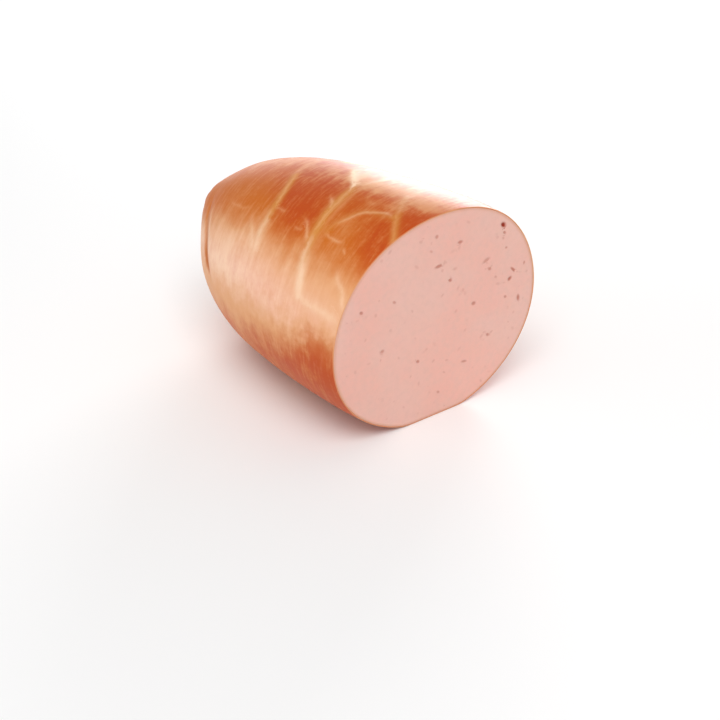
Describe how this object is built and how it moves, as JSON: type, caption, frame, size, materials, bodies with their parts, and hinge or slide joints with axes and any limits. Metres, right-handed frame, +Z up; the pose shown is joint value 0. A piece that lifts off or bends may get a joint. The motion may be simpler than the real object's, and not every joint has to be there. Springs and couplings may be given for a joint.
{
  "type": "bologna sausage",
  "caption": "Cut length of large smoked bologna sausage lying on its side, with a flat cut face and a rounded, gathered far end.",
  "frame": {"origin": "centre of the bounding box, at the level of the flat underside that it rests on", "axes": "+Z up; the sausage lies along Y, with its cut face towards -Y and its gathered end towards +Y"},
  "size_m": [0.1278, 0.1796, 0.1183],
  "materials": {
    "smoked_skin": "glossy smoked skin, orange-brown on top, paler down the sides, with pale fibrous veins",
    "meat": "moist, even pink cut meat with a few small dark specks"
  },
  "bodies": {
    "root": {"sausage": "smoked_skin"}
  },
  "joints": []
}
